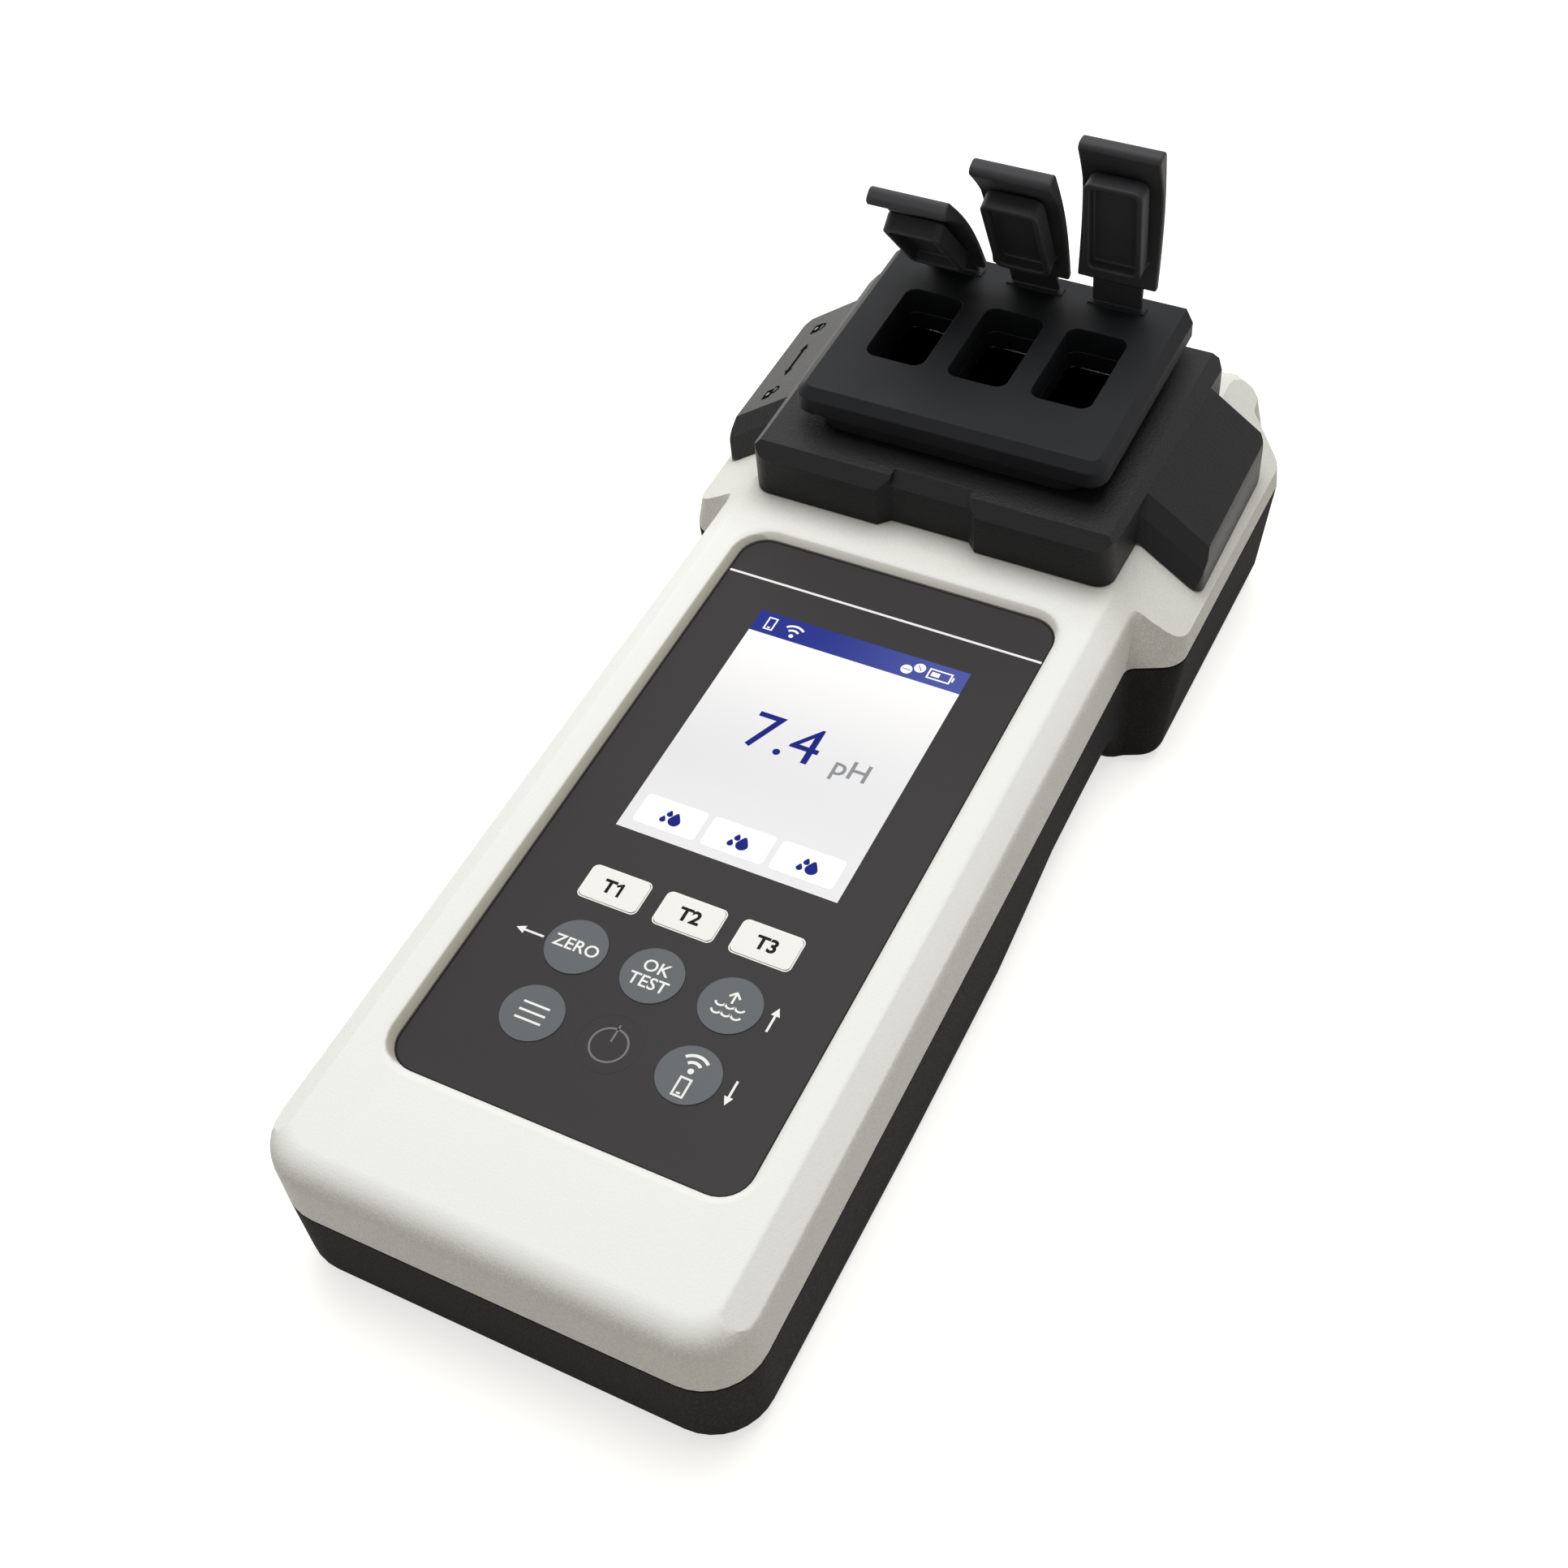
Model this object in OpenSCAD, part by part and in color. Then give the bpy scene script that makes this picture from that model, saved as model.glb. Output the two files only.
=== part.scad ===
// Hand-held water tester: a photometer with a graphic display, a membrane
// keypad and three cuvettes under hinged caps.
// X runs across the body, Y from the handle to the head, Z upwards. The origin is on the
// flat underside of the head, straight below the middle cuvette. Millimetres.

/* [Handle] */
// Width of the handle at the joint between the two shells
handle_w = 73.8; // [72:0.2:78]
// Distance from the middle cuvette to the end of the handle
handle_end = 171.6; // [168:0.5:185]
// Corner radius at the end of the handle, seen from above
handle_corner = 9; // [7:0.5:12]
// Extra half width where the handle swells towards its end
handle_swell = 0.4; // [0:0.1:0.8]
// Radius of the top edges of the handle
edge_r = 4.5; // [3.5:0.1:4.8]
// Radius of the lower edges of the dark shell
base_edge_r = 2.5; // [2:0.25:3.5]

/* [Head] */
// Width of the head at the joint, measured at its back
head_w = 91; // [88:0.5:94]
// How much narrower the head is at its front
head_taper = 1.2; // [0:0.2:2]
// Distance from the middle cuvette to the neck where the head widens
head_front = 34.4; // [33:0.2:37]
// Distance from the middle cuvette to the back edge of the head
head_back = 34.2; // [33.4:0.2:40]
// Step from the head's side to the narrower stretch behind its shoulders
tail_step = 6.5; // [5.5:0.25:7.5]
// Where the head's back shoulders start to turn in
shoulder_y = 17; // [14:0.2:17.6]
// Width of the flat top between the sloping shoulders
flat_w = 66; // [65:0.5:68]
// Slope of the shoulders in degrees
shoulder_slope = 36; // [33:0.5:38]

/* [Heights] */
// Height of the joint between the shells above the head's underside
joint_h = 22.5; // [21.5:0.25:23]
// Height of the flat top
top_h = 35; // [34.5:0.25:36.5]
// Height of the underside at the end of the handle
end_h = 6.4; // [5.8:0.2:7.4]
// Room between the cell tray and the circuit board above it
board_room = 3.1; // [2.5:0.1:3.7]
// Height of the underside at the finger waist
waist_h = 8.4; // [7.4:0.2:9.4]
// Wall thickness of both shells
wall = 2.4; // [2:0.1:2.6]
// Shadow gap between the shells
reveal = 0.5; // [0.3:0.1:0.8]

/* [Front foil] */
// Width of the foil
foil_w = 55.6; // [54:0.2:58]
// Length of the foil
foil_len = 112.6; // [111:0.2:116]
// Corner radius of the foil
foil_corner = 4.8; // [3:0.2:6]
// Thickness of the foil
foil_t = 0.35; // [0.25:0.05:0.5]
// Depth of the foil below the flat top
foil_sink = 1.5; // [1:0.1:1.8]
// Distance from the middle cuvette to the foil's upper edge
foil_y = 38.2; // [37.5:0.1:40]

/* [Display] */
// Width of the lit area
screen_w = 36.7; // [34:0.1:38]
// Length of the lit area
screen_len = 48.3; // [46:0.1:49]
// Distance from the foil's upper edge to the lit area
screen_y = 15; // [14:0.1:16]
// Border of the display module around the lit area
module_rim = 3; // [2:0.1:3.4]

/* [Keys] */
// Distance between the key columns
key_pitch = 12.44; // [11.6:0.02:13]
// Diameter of the round keys
key_d = 9.3; // [8:0.1:10]
// Width of the white test keys
test_key_w = 9.4; // [8:0.1:10]
// Height of the white test keys
test_key_h = 5.7; // [5:0.1:6.5]
// Distance from the foil's upper edge to the row of test keys
test_row_y = 74; // [73.5:0.1:75]
// Distance from the foil's upper edge to the first round row
round_row_y = 85.2; // [84.5:0.1:86]
// Distance from the foil's upper edge to the second round row
lower_row_y = 97.5; // [97:0.1:98.5]
// Travel of a key
key_travel = 0.4; // [0.3:0.05:0.45]
// Gap around a key in the foil
key_gap = 0.1; // [0.05:0.05:0.2]
// Height by which a key stands out of the foil
key_rise = 0.15; // [0.1:0.05:0.3]

/* [Cuvettes] */
// Distance between neighbouring cuvettes
cuvette_pitch = 14.7; // [14.6:0.1:15.4]
// Width of a window in the rubber plate
window_w = 10.5; // [9.5:0.1:10.8]
// Length of a window in the rubber plate
window_len = 18.9; // [18.6:0.1:19.4]
// Wall of a cuvette
cuvette_wall = 1.1; // [0.9:0.1:1.2]
// Height of a cuvette's bottom above the head's underside
cuvette_floor = 6; // [5.6:0.1:8]
// Depth of a cuvette's rim below the plate's top
rim_depth = 8; // [7:0.2:9]

/* [Rubber plate] */
// Width of the plate
plate_w = 54.6; // [53:0.2:58]
// Distance from the middle cuvette to the plate's front edge
plate_front = 22; // [21:0.2:24]
// Distance from the middle cuvette to the plate's back edge
plate_back = 21.3; // [20.5:0.1:23]
// Height of the plate's top above the cover's block
plate_rise = 7.8; // [7:0.1:9]
// Thickness of the plate
plate_t = 4.8; // [4:0.1:5.2]
// Chamfer around the plate's top
plate_chamfer = 1.6; // [0.8:0.1:2]

/* [Caps] */
// Distance from the middle cuvette to the hinge line
hinge_y = 17.2; // [17:0.1:17.6]
// Width of a cap
cap_w = 13.8; // [12:0.1:14.2]
// Length of a cap from the hinge line
cap_len = 31.3; // [30:0.1:32.5]
// Thickness of a cap
cap_t = 1.3; // [1:0.1:1.6]
// Thickness of a cap's lip
lip_t = 3; // [2.6:0.1:3.6]
// Length over which a cap thickens into its lip
lip_run = 8; // [6:0.5:9]
// Depth of a plug's rim below the hinge line
plug_depth = 3.2; // [2:0.1:4]
// Width of a cap's strap
strap_w = 8.7; // [7:0.1:10]
// Thickness of a cap's strap
strap_t = 1; // [0.8:0.1:1.2]
// Angle of the first cap from its closed place
open_1 = 51.2; // [45:0.5:100]
// Angle of the second cap from its closed place
open_2 = 67; // [45:0.5:100]
// Angle of the third cap from its closed place
open_3 = 84.6; // [45:0.5:100]

/* [Light cover] */
// Width of the cover over its wings
cover_w = 87.2; // [86:0.2:88]
// Width of the middle block
block_w = 64; // [62:0.2:65]
// Extra half width of the block at its back
block_flare = 1; // [0:0.1:1.4]
// Distance from the middle cuvette to the block's front face
block_front = 29.6; // [28.6:0.2:31]
// Distance from the middle cuvette to the block's back face
block_back = 22; // [21.4:0.1:24]
// Height of the block's top above the flat top
block_rise = 9.8; // [9:0.1:10.4]
// Front of the wings
wing_front = 18; // [16:0.2:20]
// Back of the wings
wing_back = 16.2; // [14:0.1:17]
// Thickness of the wings, square to their slope
wing_t = 6.1; // [5:0.1:6.6]
// Thickness of the cover's own walls
cover_wall = 2.2; // [1.6:0.1:2.4]
// Travel between locked and unlocked
cover_travel = 3.5; // [2:0.1:4]
// Running gap between the cover and the housing
slide_gap = 0.2; // [0.15:0.05:0.3]

/* [Battery bay] */
// Diameter of a cell
cell_d = 14.2; // [14:0.1:14.5]
// Length of a cell without its button
cell_len = 49.2; // [48:0.1:50]
// Distance from the middle cuvette to the middle of the bay
bay_y = 117; // [116:0.5:120]
// Width of the door
door_w = 58; // [57:0.5:60]
// Length of the door
door_len = 68; // [67:0.5:70]

/* [Fasteners] */
// Radius of a housing screw's shank
screw_r = 1.2; // [1:0.05:1.25]
// Radius of a housing screw's head
screw_head_r = 2.4; // [2:0.1:2.5]

/* [Hidden] */
$fn = 48;
eps = 0.01;

// Body outline
tail_w = head_w - 2 * tail_step;
neck_r = 2;
lobe_r = 4.6;
neck_angle = 25;
back_corner_r = 4;
back_notch_r = 2;
tail_corner_r = 6;
side_draft = 1.2;
front_draft = 4.6;
back_draft = 3.4;
base_draft = 2.15;
base_notch_shift = 1.5;
handle_draft = 0.25;

// Half of the body outline, from the end of the handle to the back, inset by d all round.
// dw and dh draw the sides of the handle and of the head in, df sets the neck back,
// db brings the back edge in and dk moves the back shoulders.
function arc(c, r, a0, a1, n) = [for (i = [0:n]) let (a = a0 + (a1 - a0) * i / n)
    [c[0] + r * cos(a), c[1] + r * sin(a)]];
function swell(y) = handle_swell * pow(max(0, (-y - bay_y + 40) / (handle_end - bay_y + 40)), 2);
function half_outline(d, dw = 0, dh = 0, df = 0, db = 0, dk = 0) =
    let (w = handle_w / 2 - dw - d,
        rf = handle_corner - d,
        yf = -handle_end + d,
        rn = neck_r + d,
        rl = max(0.4, lobe_r - d),
        w1 = (head_w - head_taper) / 2 - dh - d,
        w2 = head_w / 2 - dh - d,
        wt = tail_w / 2 - dh - d,
        rk = max(0.4, back_corner_r - d),
        rc = back_notch_r + d,
        rt = tail_corner_r - d,
        y1 = -head_front + df,
        c1 = [w + rn, y1],
        na = 90 + neck_angle,
        c2x = w1 - rl,
        c2 = [c2x, y1 + (rl + rn - (c2x - c1[0]) * cos(na)) / sin(na)],
        yt = head_back - db - d,
        c3x = w2 - rk,
        c4x = wt + rc,
        run = (rk + rc) / sin(45) - (c4x - c3x),
        c3 = [c3x, min(shoulder_y + dk, yt - rt - 0.4 - run)],
        c4 = [c4x, c3[1] + run],
        y0 = yf + rf)
    concat(
        [for (p = arc([w - rf, yf + rf], rf, -90, 0, 8)) [p[0] + swell(p[1]), p[1]]],
        [for (i = [1:11]) let (y = y0 + (y1 - 6 - y0) * i / 11) [w + swell(y), y]],
        [for (y = [-4.6, -3.4, -2.2, -1.1]) [w, y1 + y]],
        arc(c1, rn, 180, na, 4),
        arc(c2, rl, na - 180, 0, 6),
        arc(c3, rk, 0, 45, 3),
        arc(c4, rc, 225, 180, 3),
        arc([wt - rt, yt - rt], rt, 0, 90, 6));
function mirrored(h) = concat(h, [for (i = [len(h) - 1:-1:0]) [-h[i][0], h[i][1]]]);
function at_z(pts, z) = [for (p = pts) [p[0], p[1], z]];

// Closed skin through rings that are symmetric about X = 0 and listed from the bottom up.
// The two ends are closed by strips between mirrored points, so they may be curved.
module skin(rings) {
    m = len(rings);
    n = len(rings[0]);
    h = n / 2;
    pts = [for (r = rings) for (p = r) p];
    sides = [for (j = [0:m - 2]) for (i = [0:n - 1]) for (t = [0, 1])
        let (a = j * n + i, b = j * n + (i + 1) % n, c = b + n, e = a + n)
        t == 0 ? [a, c, b] : [a, e, c]];
    lower = [for (i = [0:h - 2]) [i, i + 1, n - 2 - i, n - 1 - i]];
    top = (m - 1) * n;
    upper = [for (i = [0:h - 2]) [top + n - 1 - i, top + n - 2 - i, top + i + 1, top + i]];
    polyhedron(concat(pts), concat(sides, lower, upper), convexity = 8);
}

// Roof of the top shell in the XZ plane, lowered by drop: a flat with sloping shoulders.
roof_slope = tan(shoulder_slope);
function roof_z(x) = top_h - max(0, abs(x) - flat_w / 2) * roof_slope;
module roof_prism(drop = 0, low = 0) {
    x = head_w;
    z = top_h - drop;
    zx = z - (x - flat_w / 2) * roof_slope;
    rotate([90, 0, 0]) linear_extrude(3 * head_w + handle_end, center = true)
        polygon([[-x, min(low, zx) - 1], [x, min(low, zx) - 1], [x, zx], [flat_w / 2, z],
            [-flat_w / 2, z], [-x, zx]]);
}

// Underside height along Y: handle end, belly, finger waist, then the deep head.
belly_front = -bay_y + 9;
belly_back = -bay_y + 29;
waist_y = -bay_y + 59;
neck_y = -head_front - 4;
neck_run = 5.2;
function ease(a, b, t) = a + (b - a) * (1 - cos(180 * min(1, max(0, t)))) / 2;
function under(y) = y < belly_front ? ease(end_h, belly_h, (y + handle_end) / (belly_front + handle_end))
    : y < waist_y ? ease(belly_h, waist_h, (y - belly_back) / (waist_y - belly_back))
    : ease(waist_h, 0, (y - neck_y) / neck_run);

// Foil, panel and board levels
foil_top = top_h - foil_sink;
foil_low = foil_top - foil_t;
ceiling = top_h - 4.4;
spacer_t = 0.8;
sheet_t = 0.5;
window_t = 1;
board_t = 1.6;
board_top = ceiling - 1.6;
board_w = 55;
board_y0 = -foil_y - foil_len + 2;
board_y1 = -foil_y - 4;
screen_mid = -foil_y - screen_y - screen_len / 2;
module_w = screen_w + 2 * module_rim;
module_len = screen_len + 3 * module_rim;
pad_w = 48;
pad_y0 = -foil_y - lower_row_y - 6.5;
pad_y1 = -foil_y - test_row_y + test_key_h / 2 + 1.2;

// Keys: [name, column, distance from the foil's edge, round]
KEYS = [["key_t1", -1, test_row_y, false], ["key_t2", 0, test_row_y, false], ["key_t3", 1, test_row_y, false],
    ["key_zero", -1, round_row_y, true], ["key_test", 0, round_row_y, true], ["key_sample", 1, round_row_y, true],
    ["key_menu", -1, lower_row_y, true], ["key_power", 0, lower_row_y, true], ["key_link", 1, lower_row_y, true]];

// Optics
chamber_gap = 0.4;
chamber_w = 2 * cuvette_pitch + window_w + 2 * cuvette_wall + 2 * chamber_gap + 6;
cuvette_w = window_w + 2 * cuvette_wall - 0.4;
cuvette_len = window_len + 2 * cuvette_wall - 0.4;
chamber_len = cuvette_len + 2 * chamber_gap + 8;
chamber_top = ceiling - 0.4;
beam_z = 18;
led_r = 1.5;
block_h = top_h + block_rise;
plate_h = block_h + plate_rise;
cuvette_rim = plate_h - rim_depth;
carrier_wall = 1.6;
carrier_w = 2 * cuvette_pitch + cuvette_w + 2 * carrier_wall;
carrier_len = cuvette_len + 2 * carrier_wall;
// Room between the carrier and the cover, at its sides and at both ends of the lock travel
cover_side = 1.7;
cover_end = 3;
// Skirt of the rubber plate around the carrier, and how far it lies inside the plate's edges
skirt_gap = 0.3;
skirt_side = 3.1;
skirt_front = 1.1;
skirt_back = 3;
skirt_r = 5.5;

// Height of the flat seal between the shells
seal_t = 0.4;

// Battery bay. The belly lies below the stack of board, cells, ledge and door.
ledge_rise = 4.8;
cell_seat = 0.4;
cell_play = 0.3;
roof_t = 1.2;
belly_h = board_top - board_t - board_room - roof_t - cell_play - cell_d - cell_seat - ledge_rise;
ledge_z = belly_h + ledge_rise;
door_top = ledge_z - 0.6;
cell_pitch = cell_d + 0.8;
bay_w = 3 * cell_pitch + 0.4;
bay_len = cell_len + 6.8;
tray_wall = 1.6;
cell_z = ledge_z + cell_seat + cell_d / 2;
tray_top = cell_z + cell_d / 2 + cell_play + roof_t;
flange_z = tray_top - 4.8;
door_screw_x = door_w / 2 - 3.5;
door_screw_y = door_len / 2 - 3.5;

// Screws that hold the shells together
seat_z = 13;
screw_tip = 27;
SCREWS = [[27, -handle_end + 10.6], [handle_w / 2 - 5.7, waist_y - 14], [head_w / 2 - 6.7, -head_front + 12.4],
    [tail_w / 2 - 6.5, head_back - 7.2]];

module rounded(w, l, r) {
    hx = w / 2 - r;
    hy = l / 2 - r;
    polygon(concat(arc([hx, -hy], r, -90, 0, 8), arc([hx, hy], r, 0, 90, 8),
        arc([-hx, hy], r, 90, 180, 8), arc([-hx, -hy], r, 180, 270, 8)));
}
module both_sides() {
    children();
    mirror([1, 0, 0]) children();
}
module at_screws() {
    both_sides() for (p = SCREWS) translate([p[0], p[1], 0]) children();
}
module at_cuvettes() {
    for (i = [-1:1]) translate([i * cuvette_pitch, 0, 0]) children();
}

// Top shell
module top_outer() {
    zc = top_h - edge_r;
    rings = concat([joint_h, (joint_h + zc) / 2], [for (a = [0:18:90]) zc + edge_r * sin(a)]);
    skin([for (z = rings) let (k = (z - joint_h) / (top_h - joint_h),
        d = z > zc ? edge_r * (1 - sqrt(max(0, 1 - pow((z - zc) / edge_r, 2)))) : 0)
        at_z(mirrored(half_outline(d, handle_draft * k, side_draft * k, front_draft * k,
            back_draft * k)), z)]);
}
module recess_cut() {
    steps = [[foil_low - eps, 0], [foil_top + 0.3, 0.05], [foil_top + 0.8, 0.55], [top_h + 0.2, 2.2]];
    hx = foil_w / 2 - foil_corner;
    hy = foil_len / 2 - foil_corner;
    translate([0, -foil_y - foil_len / 2, 0])
        skin([for (s = steps) at_z(mirrored(concat(arc([hx, -hy], foil_corner + s[1], -90, 0, 8),
            arc([hx, hy], foil_corner + s[1], 0, 90, 8))), s[0])]);
}
module top_housing() {
    color([0.91, 0.91, 0.88]) difference() {
        union() {
            difference() {
                intersection() {
                    top_outer();
                    roof_prism();
                }
                // hollow below the face and the shoulders
                intersection() {
                    translate([0, 0, joint_h - eps]) linear_extrude(ceiling - joint_h)
                        polygon(mirrored(half_outline(wall + 0.3, handle_draft, side_draft, 2, back_draft / 2)));
                    roof_prism(wall / cos(shoulder_slope));
                }
            }
            // screw bosses, tied into the face above them
            intersection() {
                at_screws() translate([0, 0, joint_h]) cylinder(r = 3, h = top_h - joint_h);
                roof_prism(wall / 2);
            }
            for (x = [-1, 1], y = [board_y0 + 4, board_y1 - 4])
                translate([x * (board_w / 2 - 3), y, board_top]) cylinder(r = 2.2, h = ceiling - board_top + 1);
            // rails that guide the light cover
            both_sides() translate([block_w / 2 - cover_wall - slide_gap - 1.6, -15, top_h - eps])
                cube([1.6, 30, 1.2]);
        }
        recess_cut();
        // display module and keypad stack
        translate([0, screen_mid, ceiling - 1]) linear_extrude(foil_low - ceiling + 1)
            square([module_w + 0.4, module_len + 0.4], center = true);
        translate([-pad_w / 2, pad_y0, foil_low - spacer_t - sheet_t])
            cube([pad_w, pad_y1 - pad_y0, spacer_t + sheet_t]);
        // well for the cuvettes
        translate([0, 0, ceiling - 1]) linear_extrude(top_h)
            square([2 * cuvette_pitch + cuvette_w + 2 * chamber_gap, cuvette_len + 2 * chamber_gap], center = true);
        at_screws() translate([0, 0, joint_h - 1]) cylinder(r = screw_r + 0.05, h = screw_tip - joint_h + 1.5);
        for (x = [-1, 1], y = [board_y0 + 4, board_y1 - 4])
            translate([x * (board_w / 2 - 3), y, board_top - 1]) cylinder(r = 1, h = 4);
    }
}

// Dark bottom shell
module lower_skin() {
    skin([for (k = [for (a = [90:-15:0]) a, -1])
        let (in = k < 0 ? 0 : base_edge_r * (1 - cos(k)), sag = k < 0 ? 0 : 1,
            h = mirrored(half_outline(in, handle_draft * sag, base_draft * sag, -0.8 * sag, 0.1 * sag,
                base_notch_shift * sag)))
        [for (p = h) [p[0], p[1], k < 0 ? joint_h - reveal : under(p[1]) + base_edge_r * (1 - sin(k))]]]);
}
// Room inside the lower shell, with a floor that follows the underside
module lower_room() {
    ys = [-handle_end, for (i = [0:24]) -handle_end + 4 + i * (handle_end + neck_y - 8) / 24,
        for (i = [0:12]) neck_y - 3 + i * (neck_run + 6) / 12, head_back];
    intersection() {
        linear_extrude(joint_h + 1) polygon(mirrored(half_outline(wall + 0.6, handle_draft, base_draft,
            0.8, 0.8, base_notch_shift)));
        along_x(2 * head_w) polygon(concat([for (y = ys) [y, wall + max(under(y - wall), under(y), under(y + wall))]],
            [[head_back, joint_h + 2], [-handle_end, joint_h + 2]]));
    }
}
module door_plate(gap) {
    translate([0, -bay_y, 0]) linear_extrude(door_top) rounded(door_w - 2 * gap, door_len - 2 * gap, 3);
}
module bottom_housing() {
    color([0.13, 0.13, 0.13]) difference() {
        union() {
            difference() {
                union() {
                    lower_skin();
                    // tongue behind the shadow gap
                    translate([0, 0, joint_h - 1]) linear_extrude(1) polygon(mirrored(half_outline(0.9)));
                }
                lower_room();
            }
            intersection() {
                lower_skin();
                union() {
                    at_screws() cylinder(r = 3.5, h = joint_h - eps);
                    translate([0, -bay_y, 0]) linear_extrude(ledge_z + 1.4)
                        rounded(door_w + 3, door_len + 3, 4);
                    // collar that holds the battery tray
                    translate([0, -bay_y, 0]) linear_extrude(flange_z)
                        square([bay_w + 2 * tray_wall + 3.4, bay_len + 2 * tray_wall + 3.4], center = true);
                }
            }
            at_screws() translate([0, 0, joint_h - 2]) cylinder(r = 3.2, h = 2);
        }
        // bay, tray seat and door pocket
        translate([0, -bay_y, 0]) linear_extrude(joint_h) square([bay_w, bay_len], center = true);
        translate([0, -bay_y, ledge_z + 1]) linear_extrude(joint_h)
            square([bay_w + 2 * tray_wall + 0.2, bay_len + 2 * tray_wall + 0.2], center = true);
        translate([0, -bay_y, -1]) linear_extrude(ledge_z + 1) rounded(door_w, door_len, 3.2);
        translate([0, -bay_y, 0]) both_sides() for (y = [-1, 1])
            translate([door_screw_x, y * door_screw_y, ledge_z - 1]) cylinder(r = 1.05, h = 5);
        seal_ring();
        at_screws() {
            translate([0, 0, -1]) cylinder(r = screw_head_r + 0.2, h = seat_z + 1);
            cylinder(r = screw_r + 0.2, h = joint_h + 1);
        }
    }
}
module seal_ring() {
    translate([0, 0, joint_h - seal_t]) difference() {
        linear_extrude(seal_t) polygon(mirrored(half_outline(1.2)));
        translate([0, 0, -1]) linear_extrude(3) polygon(mirrored(half_outline(2.1)));
    }
}
module housing_seal() {
    color([0.08, 0.08, 0.08]) seal_ring();
}
module housing_screws() {
    color([0.6, 0.6, 0.62]) at_screws() {
        difference() {
            translate([0, 0, seat_z - 1.8]) cylinder(r = screw_head_r, h = 1.8);
            translate([0, 0, seat_z - 2]) cylinder(r = 0.9, h = 1.2, $fn = 6);
        }
        translate([0, 0, seat_z - eps]) cylinder(r = screw_r, h = screw_tip - seat_z);
    }
}

// Membrane keypad and display
module key_outline(k, gap) {
    translate([k[1] * key_pitch, -foil_y - k[2]]) {
        if (k[3]) circle(d = key_d + 2 * gap);
        else rounded(test_key_w + 2 * gap, test_key_h + 2 * gap, 0.9 + gap);
    }
}
module front_foil() {
    color([0.24, 0.23, 0.24]) translate([0, 0, foil_low]) linear_extrude(foil_t) difference() {
        translate([0, -foil_y - foil_len / 2]) rounded(foil_w, foil_len, foil_corner);
        translate([0, screen_mid]) square([screen_w, screen_len], center = true);
        for (k = KEYS) key_outline(k, key_gap);
    }
}
module display_window() {
    color([0.85, 0.9, 0.95, 0.4]) translate([0, screen_mid, foil_top - window_t])
        linear_extrude(window_t) square([screen_w, screen_len], center = true);
}
module display_module() {
    color([0.95, 0.95, 0.95]) translate([0, screen_mid, board_top])
        linear_extrude(foil_top - window_t - board_top) square([module_w, module_len], center = true);
}
module keypad_spacer() {
    color([0.8, 0.8, 0.78]) translate([0, 0, foil_low - spacer_t]) linear_extrude(spacer_t) difference() {
        translate([-pad_w / 2, pad_y0]) square([pad_w, pad_y1 - pad_y0]);
        for (k = KEYS) key_outline(k, key_gap);
    }
}
module switch_sheet() {
    color([0.7, 0.6, 0.3]) translate([-pad_w / 2, pad_y0, foil_low - spacer_t - sheet_t])
        cube([pad_w, pad_y1 - pad_y0, sheet_t]);
}
module key(i) {
    k = KEYS[i];
    plunger = spacer_t - key_travel - 0.05;
    color(k[3] ? [0.4, 0.42, 0.43] : [0.92, 0.91, 0.9]) {
        translate([0, 0, foil_low]) linear_extrude(foil_t + key_rise) key_outline(k, 0);
        translate([k[1] * key_pitch, -foil_y - k[2], foil_low - plunger]) cylinder(d = 3, h = plunger + eps);
    }
}

// Electronics
module main_board() {
    color([0.1, 0.35, 0.2]) translate([0, 0, board_top - board_t]) difference() {
        translate([-board_w / 2, board_y0, 0]) cube([board_w, board_y1 - board_y0, board_t]);
        for (x = [-1, 1], y = [board_y0 + 4, board_y1 - 4])
            translate([x * (board_w / 2 - 3), y, -1]) cylinder(r = 1.1, h = 4);
    }
}
module board_screws() {
    color([0.6, 0.6, 0.62]) for (x = [-1, 1], y = [board_y0 + 4, board_y1 - 4])
        translate([x * (board_w / 2 - 3), y, 0]) {
            translate([0, 0, board_top - board_t - 1]) cylinder(r = 1.9, h = 1);
            translate([0, 0, board_top - board_t - eps]) cylinder(r = 0.95, h = board_t + 2.4);
        }
}
module controller_chips() {
    color([0.08, 0.08, 0.08]) translate([0, 0, board_top - board_t - 1]) {
        translate([-5, board_y1 - 22, 0]) cube([10, 10, 1]);
        translate([12, board_y1 - 20, 0]) cube([8, 5, 1]);
        translate([-22, board_y1 - 24, 0]) cube([12, 16, 1]);
    }
}
module optical_block() {
    color([0.07, 0.07, 0.07]) difference() {
        translate([-chamber_w / 2, -chamber_len / 2, wall]) cube([chamber_w, chamber_len, chamber_top - wall]);
        at_cuvettes() {
            translate([0, 0, cuvette_floor - 0.4]) linear_extrude(chamber_top)
                square([cuvette_w + 2 * chamber_gap, cuvette_len + 2 * chamber_gap], center = true);
            translate([0, 0, beam_z]) rotate([90, 0, 0])
                cylinder(r = led_r + 0.05, h = chamber_len + 2, center = true);
        }
    }
}
module side_board(y) {
    translate([-chamber_w / 2, y, wall]) cube([chamber_w, board_t, beam_z + 8 - wall]);
}
module led_board() {
    color([0.1, 0.35, 0.2]) side_board(-chamber_len / 2 - board_t);
}
module sensor_board() {
    color([0.1, 0.35, 0.2]) side_board(chamber_len / 2);
}
module led_emitters() {
    color([0.9, 0.9, 0.8, 0.6]) at_cuvettes() translate([0, -chamber_len / 2, beam_z]) rotate([-90, 0, 0])
        cylinder(r = led_r, h = 3);
}
module photodiodes() {
    color([0.15, 0.15, 0.2]) at_cuvettes() translate([0, chamber_len / 2, beam_z]) rotate([90, 0, 0])
        cylinder(r = led_r, h = 3);
}

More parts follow.
